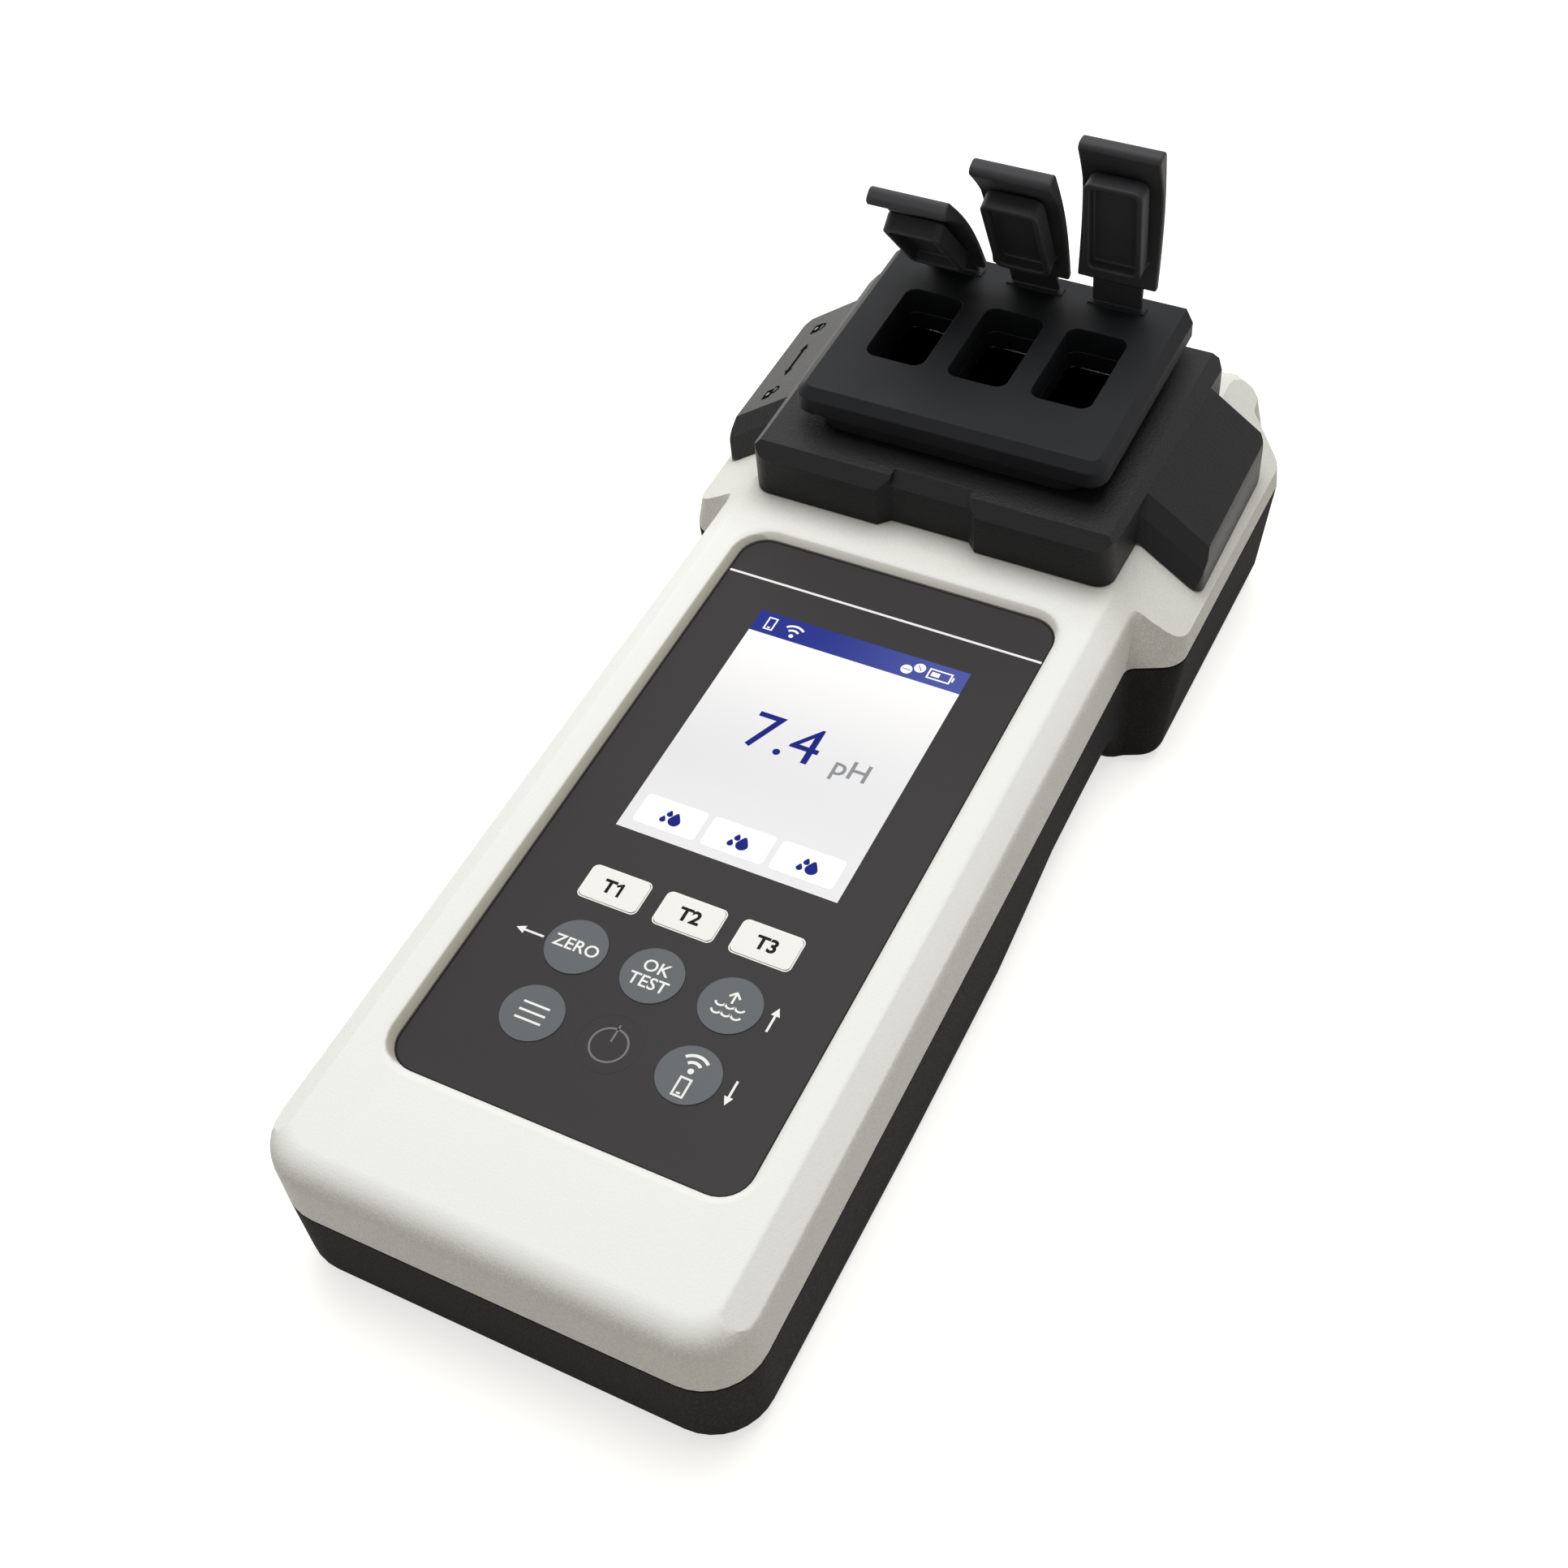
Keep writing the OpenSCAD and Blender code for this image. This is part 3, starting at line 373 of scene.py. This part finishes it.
def lift(shape, corners):
    """Turns the flat faces that meet at some corners into a layer of ink."""
    faces = list({face for vert in corners for face in vert.link_faces})
    grown = bmesh.ops.extrude_face_region(shape, geom=faces, use_keep_orig=True)
    top = [part for part in grown["geom"] if isinstance(part, bmesh.types.BMVert)]
    bmesh.ops.translate(shape, verts=top, vec=(0, 0, ink_height))


def disc(shape, x, y, radius, sides=32):
    made = bmesh.ops.create_circle(shape, cap_ends=True, radius=radius, segments=sides,
                                   matrix=Matrix.Translation((x, y, 0)))
    lift(shape, made["verts"])


def ring(shape, x, y, radius, width, start=0.0, sweep=360.0, steps=32):
    """An arc of a ring, from start over sweep in degrees."""
    turn = Matrix.Rotation(math.radians(start), 3, "Z")
    middle = Vector((x, y, 0))
    ends = [shape.verts.new(middle + turn @ Vector((radius + side * width / 2, 0, rise)))
            for side, rise in ((-1, 0), (1, 0), (1, ink_height), (-1, ink_height))]
    edges = [shape.edges.new((ends[i], ends[(i + 1) % 4])) for i in range(4)]
    whole = sweep >= 360
    made = bmesh.ops.spin(shape, geom=ends + edges, cent=middle, axis=(0, 0, 1),
                          angle=math.radians(sweep), steps=steps, use_merge=whole)
    if not whole:
        last = [part for part in made["geom_last"] if isinstance(part, bmesh.types.BMVert)]
        shape.faces.new(ends)
        shape.faces.new(last)


def border(shape, x, y, width, length, corner, stroke):
    """The outline of a rectangle with round corners."""
    half_width = width / 2
    half_length = length / 2
    for turn, side, end in ((0, 1, 1), (90, -1, 1), (180, -1, -1), (270, 1, -1)):
        ring(shape, x + side * (half_width - corner), y + end * (half_length - corner),
             corner, stroke, turn, 90, 6)
    for side in (-1, 1):
        bar(shape, x - half_width + corner, y + side * half_length,
            x + half_width - corner, y + side * half_length, stroke)
        bar(shape, x + side * half_width, y - half_length + corner,
            x + side * half_width, y + half_length - corner, stroke)


def frame_line(shape, x, y, width, length, stroke):
    """The outline of a rectangle."""
    for side in (-1, 1):
        bar(shape, x - (width + stroke) / 2, y + side * length / 2,
            x + (width + stroke) / 2, y + side * length / 2, stroke)
        bar(shape, x + side * width / 2, y - length / 2,
            x + side * width / 2, y + length / 2, stroke, 0.9)


def arrow(shape, x0, y0, x1, y1, width, head):
    """A stroke with a filled head at its second end."""
    along = Vector((x1 - x0, y1 - y0)).normalized()
    neck = Vector((x1, y1)) - along * head
    bar(shape, x0, y0, neck.x, neck.y, width)
    middle = neck + along * head / 3
    turn = math.atan2(along.y, along.x) - math.pi / 2
    made = bmesh.ops.create_circle(shape, cap_ends=True, radius=head * 0.667, segments=3, matrix=(
        Matrix.Translation((middle.x, middle.y, 0)) @ Matrix.Rotation(turn, 4, "Z")
        @ Matrix.Diagonal((0.85, 1, 1, 1))))
    lift(shape, made["verts"])


def waves(shape, x, y, size):
    """Signal waves over a dot."""
    disc(shape, x, y, size * 0.2, 20)
    for step in (0.62, 1.1):
        ring(shape, x, y, size * step, size * 0.21, 46, 88, 12)


def handset(shape, x, y, size, stroke):
    """The outline of a telephone with its button."""
    frame_line(shape, x, y, size * 0.55, size, stroke)
    bar(shape, x - size * 0.1, y - size * 0.34, x + size * 0.1, y - size * 0.34, stroke)


def words(shape, text, x, y, size, bold):
    """Letters set in a plain sans serif."""
    line = bpy.data.curves.new("line", "FONT")
    line.body = text
    line.size = size
    line.align_x = "CENTER"
    line.align_y = "CENTER"
    line.offset = bold * size
    line.extrude = ink_height / 2
    line.resolution_u = 3
    setting = bpy.data.objects.new("line", line)
    mesh = bpy.data.meshes.new_from_object(setting)
    mesh.transform(Matrix.Translation((x, y, ink_height / 2)))
    shape.from_mesh(mesh)
    bpy.data.objects.remove(setting)
    bpy.data.meshes.remove(mesh)
    bpy.data.curves.remove(line)


def printed(name, draw, place, material, body, layer=0.0, tilt=0.0):
    """A finished layer of ink that starts at a place and lies on the layers under it."""
    shape = bmesh.new()
    draw(shape)
    bmesh.ops.remove_doubles(shape, verts=shape.verts, dist=1e-4)
    bmesh.ops.recalc_face_normals(shape, faces=shape.faces)
    bmesh.ops.transform(shape, verts=shape.verts, matrix=(
        Matrix.Translation(place) @ Matrix.Rotation(math.radians(tilt), 4, "Y")
        @ Matrix.Scale(mm, 4) @ Matrix.Translation((0, 0, layer * ink_height))))
    mesh = bpy.data.meshes.new(name)
    shape.to_mesh(mesh)
    shape.free()
    mesh.materials.append(material)
    piece = bpy.data.objects.new(name, mesh)
    scene.collection.objects.link(piece)
    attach(piece, body)


white_ink = ink("white_ink", (240, 240, 238))
dark_ink = ink("dark_ink", (24, 22, 23), gloss=0.05)
gap_shade_ink = ink("gap_shade_ink", (32, 30, 30), gloss=0.05)
border_ink = ink("border_ink", (240, 239, 236))
ring_ink = ink("ring_ink", (112, 112, 114))


def foil_marks(shape):
    stroke = 0.36
    head = 1.4
    bar(shape, -27.75, -8.6, 27.75, -8.6, 0.45)
    arrow(shape, -17.7, -85.5, -22.3, -85.5, stroke, head)
    arrow(shape, 18.9, -87.0, 18.9, -82.8, stroke, head)
    arrow(shape, 19.0, -95.6, 19.0, -99.7, stroke, head)


# Painted shadow: a dark line round the foil's edge, for the gap between foil and shell.
def foil_gap_shade(shape):
    border(shape, 0, -56.3, 55.3, 112.3, 4.65, 0.26)


def key_borders(shape):
    for key in ("key_t1", "key_t2", "key_t3"):
        x, y = from_foil(top_middle(key))
        border(shape, x, y, 9.76, 6.04, 0.9, 0.2)


def power_rim(shape):
    x, y = from_foil(top_middle("key_power"))
    ring(shape, x, y, 4.74, 0.06, steps=64)


for name, draw, material in (
        ("foil_marks", foil_marks, white_ink),
        ("key_borders", key_borders, border_ink),
        ("power_rim", power_rim, printed_film),
        ("foil_gap_shade", foil_gap_shade, gap_shade_ink)):
    printed(name, draw, foil_top, material, "instrument")


def first_test(shape):
    words(shape, "T", -0.95, -0.1, 3.2, 0.032)
    bar(shape, 0.95, -1.27, 0.95, 1.15, 0.46)
    bar(shape, 1.05, 1.05, 0.1, 0.5, 0.42, 0.9)


def second_test(shape):
    words(shape, "T2", 0, -0.1, 3.2, 0.032)


def third_test(shape):
    words(shape, "T3", 0, -0.1, 3.2, 0.032)


def zero_word(shape):
    words(shape, "ZERO", 0, 0, 2.85, 0.012)


def test_words(shape):
    words(shape, "OK", 0, 1.3, 2.85, 0.012)
    words(shape, "TEST", 0, -1.4, 2.85, 0.012)


def sample_icon(shape):
    stroke = 0.34
    for row in (0.25, -1.1):
        for step in (-1, 0, 1):
            ring(shape, step * 1.52, row, 0.81, 0.32, 201, 138, 10)
    bar(shape, 0, 0.3, 0, 2.1, stroke)
    bar(shape, 0.05, 2.25, -0.85, 1.35, stroke, 0.9)
    bar(shape, -0.05, 2.25, 0.85, 1.35, stroke, 0.8)


def menu_icon(shape):
    for row in (-1.35, 0, 1.35):
        bar(shape, -2.1, row, 2.1, row, 0.36)


def power_icon(shape):
    ring(shape, 0, -0.2, 2.75, 0.3, steps=48)
    bar(shape, 0, 0.4, 0, 3.3, 0.3)


def link_icon(shape):
    waves(shape, 0, 0.6, 2.3)
    handset(shape, 0, -2.1, 2.9, 0.32)


sunk = (foil_top.z - top_middle("key_power").z) / mm / ink_height + 0.25
for key, draw, material, slot, layer in (
        ("t1", first_test, dark_ink, "key_white", 0),
        ("t2", second_test, dark_ink, "key_white", 0),
        ("t3", third_test, dark_ink, "key_white", 0),
        ("zero", zero_word, white_ink, "key_grey", 0),
        ("test", test_words, white_ink, "key_grey", 0),
        ("sample", sample_icon, white_ink, "key_grey", 0),
        ("menu", menu_icon, white_ink, "key_grey", 0),
        ("power", power_icon, ring_ink, "key_grey", sunk),
        ("link", link_icon, white_ink, "key_grey", 0)):
    printed("legend_" + key, draw, top_middle("key_" + key), material, "key_" + key, layer)

# Picture on the display.
# A blue status bar, the last reading in large figures, and three soft keys with drops.
# The lit marks lie on the pane and share the foil's measures.
blue_light = ink("blue_light", (22, 32, 126), 0.03, 0.05)
white_light = ink("white_light", (250, 250, 250), 0.08)
grey_light = ink("grey_light", (132, 134, 138), 0.05)
lit = Finish("bar_light")
blue = lit.mix(lit.split(lit.place, "X").over(4 * mm, 30 * mm), (28, 42, 134), (72, 84, 160))
bar_light = lit.surface(blue, 0.3, Specular_IOR_Level=0.1, Emission_Color=blue,
                        Emission_Strength=0.05)
page_left, page_right = span("display_window", 0)
page_width = (page_right - page_left) / mm
page_top = (span("display_window", 1)[1] - foil_top.y) / mm
bar_height = 4.6
bar_line = page_top - bar_height / 2
soft_pitch = 11.4
soft_line = -58.8


def plate(shape, x, y, width, length, corner):
    """A filled rectangle with round corners."""
    made = bmesh.ops.create_grid(shape, x_segments=1, y_segments=1, size=0.5, matrix=(
        Matrix.Translation((x, y, 0)) @ Matrix.Diagonal((width, length, 1, 1))))
    cut = bmesh.ops.bevel(shape, geom=made["verts"], offset=corner, segments=5, affect="VERTICES",
                          profile=0.5, material=-1)
    lift(shape, cut["verts"])


def status_bar(shape):
    plate(shape, 0, bar_line, page_width, bar_height, 0.02)


def status_icons(shape):
    handset(shape, -15.6, bar_line, 2.5, 0.26)
    waves(shape, -11.4, bar_line - 1.2, 1.95)
    disc(shape, 8.6, bar_line - 0.6, 0.95, 24)
    disc(shape, 10.5, bar_line + 0.4, 0.95, 24)
    frame_line(shape, 14.0, bar_line, 3.7, 1.9, 0.28)
    bar(shape, 16.1, bar_line, 16.4, bar_line, 0.9)
    bar(shape, 12.6, bar_line, 14.0, bar_line, 0.9)


def tablet_lines(shape):
    bar(shape, 7.9, bar_line - 0.6, 9.3, bar_line - 0.6, 0.14)
    bar(shape, 10.1, bar_line + 0.9, 10.9, bar_line - 0.1, 0.14)


def reading(shape):
    words(shape, "7.4", -2.6, -38.6, 10.4, 0.0)


def reading_unit(shape):
    words(shape, "pH", 9.6, -40.2, 5.0, 0.01)


def soft_keys(shape):
    for step in (-1, 0, 1):
        plate(shape, step * soft_pitch, soft_line, 10.4, 5.6, 0.7)


def drop(shape, x, y, radius):
    """A drop of water: a circle drawn out to a tip at its top."""
    made = bmesh.ops.create_circle(shape, cap_ends=True, radius=radius, segments=24,
                                   matrix=Matrix.Translation((x, y, 0)))
    for vert in made["verts"]:
        rise = (vert.co.y - y) / radius
        if rise > 0:
            vert.co.y = y + radius * rise * (1 + 0.5 * rise ** 3)
            vert.co.x = x + (vert.co.x - x) * (1 - 0.25 * rise)
    lift(shape, made["verts"])


def soft_drops(shape):
    for step in (-1, 0, 1):
        drop(shape, step * soft_pitch + 0.88, soft_line - 0.58, 1.0)
        drop(shape, step * soft_pitch - 0.95, soft_line - 0.91, 0.5)
        drop(shape, step * soft_pitch - 0.32, soft_line + 0.34, 0.5)


for name, draw, material, layer in (
        ("status_bar", status_bar, bar_light, 0),
        ("status_icons", status_icons, white_light, 1),
        ("tablet_lines", tablet_lines, bar_light, 2),
        ("reading", reading, blue_light, 0),
        ("reading_unit", reading_unit, grey_light, 0),
        ("soft_keys", soft_keys, white_light, 0),
        ("soft_drops", soft_drops, blue_light, 1)):
    printed(name, draw, foil_top, material, "instrument", layer)

# Marks on the left wing of the cover.
# Sunk and dark: a locked and an unlocked padlock, and between them a double arrow for the
# way that the cover slides.
wing_middle = Vector((-38.0, 0, 38.95)) * mm
wing_tilt = -36
lock_y = 9.4
open_lock_y = -10.0
wing_ink = ink("wing_ink", (22, 22, 23), gloss=0.0)
wing_spot = ink("wing_spot", (120, 117, 116), gloss=0.3)


def padlock(shape, y, shift):
    plate(shape, -0.95, y, 1.9, 2.5, 0.15)
    ring(shape, 0.35, y + shift, 0.85, 0.34, -115, 230, 20)


def wing_marks(shape):
    padlock(shape, lock_y, 0)
    padlock(shape, open_lock_y, 0.75)
    arrow(shape, 0, 0, 0, 4.4, 0.7, 1.8)
    arrow(shape, 0, 0, 0, -5.0, 0.7, 1.8)


def lock_spots(shape):
    for y in (lock_y, open_lock_y):
        disc(shape, -0.95, y, 0.42, 20)


printed("wing_marks", wing_marks, wing_middle, wing_ink, "light_cover", 0, wing_tilt)
printed("lock_spots", lock_spots, wing_middle, wing_spot, "light_cover", 1, wing_tilt)

# Inner parts.
# Boards, chips, cells, contacts and screws have their usual workshop finishes.
def plain_finish(name, colour, second, size, roughness, depth=0.01, **more):
    made = Finish(name)
    fine = made.noise(size * mm, 2.0)
    return made.surface(made.mix(fine * 0.6, colour, second), roughness + fine * 0.08,
                        Normal=made.bump(fine, depth * mm, 0.5), **more)


steel = plain_finish("screw_steel", (168, 168, 170), (140, 140, 143), 0.3, 0.26, Metallic=1.0)
nickel = plain_finish("nickel", (196, 193, 184), (170, 167, 158), 0.4, 0.24, Metallic=1.0)
jacket = plain_finish("cell_jacket", (128, 130, 134), (110, 112, 116), 2.0, 0.32, Metallic=0.8)
board = plain_finish("board_lacquer", (24, 92, 52), (18, 78, 44), 1.5, 0.3)
black_plastic = plain_finish("black_moulding", (34, 34, 35), (42, 42, 42), 0.4, 0.5)
chamber_black = plain_finish("chamber_black", (12, 12, 13), (15, 15, 16), 2.0, 0.6, 0.001)
chip_black = plain_finish("chip_black", (28, 28, 30), (36, 36, 38), 0.3, 0.45)
soft_black = plain_finish("seal_rubber", (26, 26, 26), (34, 34, 33), 0.5, 0.6)
membrane = plain_finish("membrane", (196, 190, 168), (184, 178, 156), 1.0, 0.4)
pale_module = plain_finish("module_frame", (206, 208, 210), (190, 192, 194), 1.0, 0.35)
lens = plain_finish("lens_epoxy", (226, 226, 214), (214, 214, 202), 0.5, 0.12)
for node_name, piece, slot_name, material, rounding in (
        ("housing_seal", "shell_gasket", "seal_rubber", soft_black, 0),
        ("door_seal", "hatch_gasket", "seal_rubber", soft_black, 0),
        ("housing_screws", "shell_screws", "screw_steel", steel, 0.15),
        ("board_screws", "circuit_screws", "screw_steel", steel, 0.12),
        ("door_screws", "hatch_screws", "screw_steel", steel, 0.15),
        ("display_module", "display_unit", "display_white", pale_module, 0.15),
        ("keypad_spacer", "key_spacer", "spacer_film", membrane, 0),
        ("switch_sheet", "dome_sheet", "spacer_film", membrane, 0),
        ("main_board", "circuit_board", "board_green", board, 0.1),
        ("controller_chips", "chips", "black_plastic", chip_black, 0.12),
        ("optical_block", "measuring_block", "black_plastic", chamber_black, 0.25),
        ("led_board", "emitter_board", "board_green", board, 0.1),
        ("sensor_board", "receiver_board", "board_green", board, 0.1),
        ("led_emitters", "emitters", "lens_clear", lens, 0.1),
        ("photodiodes", "receivers", "lens_clear", lens, 0.1),
        ("battery_tray", "cell_tray", "black_plastic", black_plastic, 0.3),
        ("battery_cells", "cells", "cell_metal", jacket, 0.5),
        ("battery_contacts", "cell_contacts", "contact_metal", nickel, 0.1)):
    part_from(node_name, piece, "instrument", material, rounding, 32)

# Floor and light.
# A pale sheet that the head's underside and the belly rest on, a large soft
# lamp above the back left and a low one behind it, and an even room light.
rest_lean = math.atan(0.0423)
resting_edge = -33.5 * mm
clearance = 0.2 * mm
sheet_shape = bmesh.new()
bmesh.ops.create_grid(sheet_shape, x_segments=1, y_segments=1, size=4)
bmesh.ops.transform(sheet_shape, verts=sheet_shape.verts, matrix=(
    Matrix.Translation((0, resting_edge, -clearance)) @ Matrix.Rotation(-rest_lean, 4, "X")))
sheet_mesh = bpy.data.meshes.new("floor")
sheet_shape.to_mesh(sheet_mesh)
sheet_shape.free()


def backdrop(finish):
    """One for rays that show the white surroundings: straight, in gloss or through plastic."""
    rays = [finish.node("ShaderNodeLightPath", {}, {}, ray)
            for ray in ("Is Camera Ray", "Is Glossy Ray", "Is Transmission Ray")]
    return rays[0].larger(rays[1]).larger(rays[2])


pale = Finish("pale_sheet")
glow = pale.mix(backdrop(pale), (0, 0, 0), (215, 215, 215))
pale_sheet = pale.surface((217, 214, 207), 0.9, Emission_Color=glow, Emission_Strength=1.0,
                          Specular_IOR_Level=0.0)
sheet_mesh.materials.append(pale_sheet)
floor = bpy.data.objects.new("floor", sheet_mesh)
scene.collection.objects.link(floor)

scene.world = bpy.data.worlds.new("room")
room = Finish("room", scene.world)
eye = backdrop(room)
up = room.split(room.place, "Z")
level = eye.larger(up.over(0.75, 0.5) * 0.34 + 0.15)
tint = room.mix(eye, (255, 251, 240), (255, 255, 255))
light = room.node("ShaderNodeBackground", {}, {"Color": tint, "Strength": level})
room.finished("ShaderNodeOutputWorld", light)


def soft_lamp(name, place, size, power, aim=(0, -70, 20)):
    lamp = bpy.data.lights.new(name, "AREA")
    lamp.size = size
    lamp.energy = power
    made = bpy.data.objects.new(name, lamp)
    made.location = Vector(place) * mm
    made.rotation_mode = "QUATERNION"
    made.rotation_quaternion = (Vector(aim) - Vector(place)).to_track_quat("-Z", "Y")
    scene.collection.objects.link(made)


soft_lamp("key_light", (-50, 180, 895), 0.7, 7.15)
soft_lamp("low_light", (-450, 400, 60), 0.6, 1.8, (-30, 20, 35))
